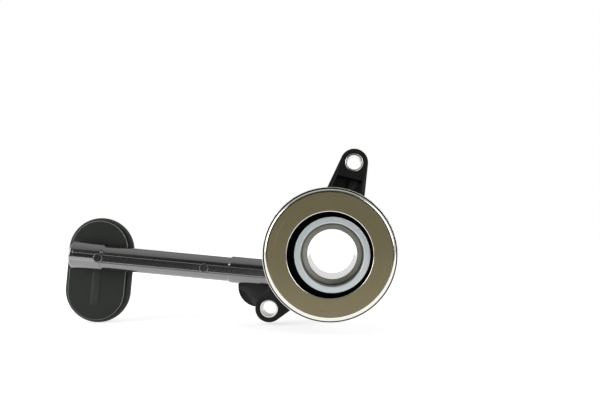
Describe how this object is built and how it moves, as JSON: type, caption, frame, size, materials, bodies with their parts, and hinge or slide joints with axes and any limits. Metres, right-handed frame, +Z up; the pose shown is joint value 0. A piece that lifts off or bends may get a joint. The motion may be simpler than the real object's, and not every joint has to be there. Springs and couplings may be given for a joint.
{
  "type": "clutch slave cylinder",
  "caption": "Concentric clutch slave cylinder: annular hydraulic piston with release bearing round a guide sleeve, moulded housing with bolt lugs and a side arm to the line port.",
  "frame": {"origin": "on the bore axis, in the plane of the housing's mounting face against the gearbox", "axes": "+Y along the bore from the release bearing towards the gearbox, +Z up, +X to the right when the bearing is looked at, so the arm runs to -X"},
  "size_m": [0.1972, 0.0876, 0.105],
  "materials": {
    "moulded_black": "glass-filled nylon, satin to glossy where the mould is polished",
    "cap_plastic": "glossy nylon",
    "sleeve_steel": "ground smooth",
    "piston_aluminium": "turned and polished",
    "contact_steel": "hardened, finely turned, oiled",
    "ring_steel": "ground",
    "ball_steel": "polished",
    "pressed_steel": "pressed sheet, satin",
    "spring_steel": "oiled spring wire",
    "screw_steel": "zinc plated",
    "bolt_sleeve_steel": "plated",
    "brass": "turned",
    "rubber_seal": "matte",
    "rubber_boot": "matte",
    "rubber_frame": "matte",
    "rubber_cap": "matte",
    "band_plastic": "smooth",
    "cage_plastic": "smooth"
  },
  "bodies": {
    "cylinder_housing": {"housing": "moulded_black", "arm_tube": "moulded_black", "port_head": "moulded_black", "guide_sleeve": "sleeve_steel", "sleeve_o_ring": "rubber_seal", "sleeve_retaining_ring": "spring_steel", "piston_stop_ring": "spring_steel", "preload_spring": "spring_steel", "dust_boot": "rubber_boot", "upper_bolt_sleeve": "bolt_sleeve_steel", "lower_bolt_sleeve": "bolt_sleeve_steel", "arm_end_plug": "cap_plastic", "aperture_seal": "rubber_frame", "port_seal": "rubber_seal", "bleed_insert": "brass"},
    "piston_group": {"piston": "piston_aluminium", "piston_seal": "rubber_seal", "guide_band": "band_plastic", "sleeve_scraper": "rubber_seal", "bearing_carrier": "pressed_steel", "centering_spring": "spring_steel"},
    "float_group": {"float_washer": "pressed_steel"},
    "bearing_fixed_group": {"bearing_cover": "pressed_steel", "bearing_outer_ring": "ring_steel", "bearing_seal": "rubber_seal"},
    "cage_group": {"ball_cage": "cage_plastic", "bearing_balls": "ball_steel"},
    "contact_group": {"contact_ring": "contact_steel"},
    "clip": {"line_clip": "spring_steel"},
    "bleeder": {"bleed_screw": "screw_steel"},
    "bleeder_cap": {"bleed_cap": "rubber_cap"}
  },
  "joints": [
    {"name": "piston_slide", "type": "slide", "parent": "cylinder_housing", "child": "piston_group", "axis": [0, 1, 0], "range_m": [0, 0.014], "stiffness_N_per_m": 2000, "springref_m": -0.03, "deforming": ["preload_spring", "dust_boot"]},
    {"name": "bearing_float_x", "type": "slide", "parent": "piston_group", "child": "float_group", "axis": [1, 0, 0], "range_m": [0, 0.0022]},
    {"name": "bearing_float_z", "type": "slide", "parent": "float_group", "child": "bearing_fixed_group", "axis": [0, 0, 1], "range_m": [-0.0011, 0.0011]},
    {"name": "bearing_spin", "type": "hinge", "parent": "bearing_fixed_group", "child": "contact_group", "pos_m": [-0.0011, -0.0506, 0], "axis": [0, 1, 0], "continuous": true},
    {"name": "cage_spin", "type": "hinge", "parent": "bearing_fixed_group", "child": "cage_group", "pos_m": [-0.0011, -0.0506, 0], "axis": [0, 1, 0], "continuous": true},
    {"name": "clip_slide", "type": "slide", "parent": "cylinder_housing", "child": "clip", "axis": [0.0936, 0, 0.9956], "range_m": [0, 0.004]},
    {"name": "bleed_turn", "type": "hinge", "parent": "cylinder_housing", "child": "bleeder", "pos_m": [-0.1441, 0.015, -0.02718], "axis": [0, 1, 0], "range_deg": [0, 360]},
    {"name": "cap_pull", "type": "slide", "parent": "bleeder", "child": "bleeder_cap", "axis": [0, 1, 0], "range_m": [0, 0.012]}
  ],
  "couplings": [
    {"joint": "cage_spin", "follows": "bearing_spin", "ratio": 0.4579}
  ]
}
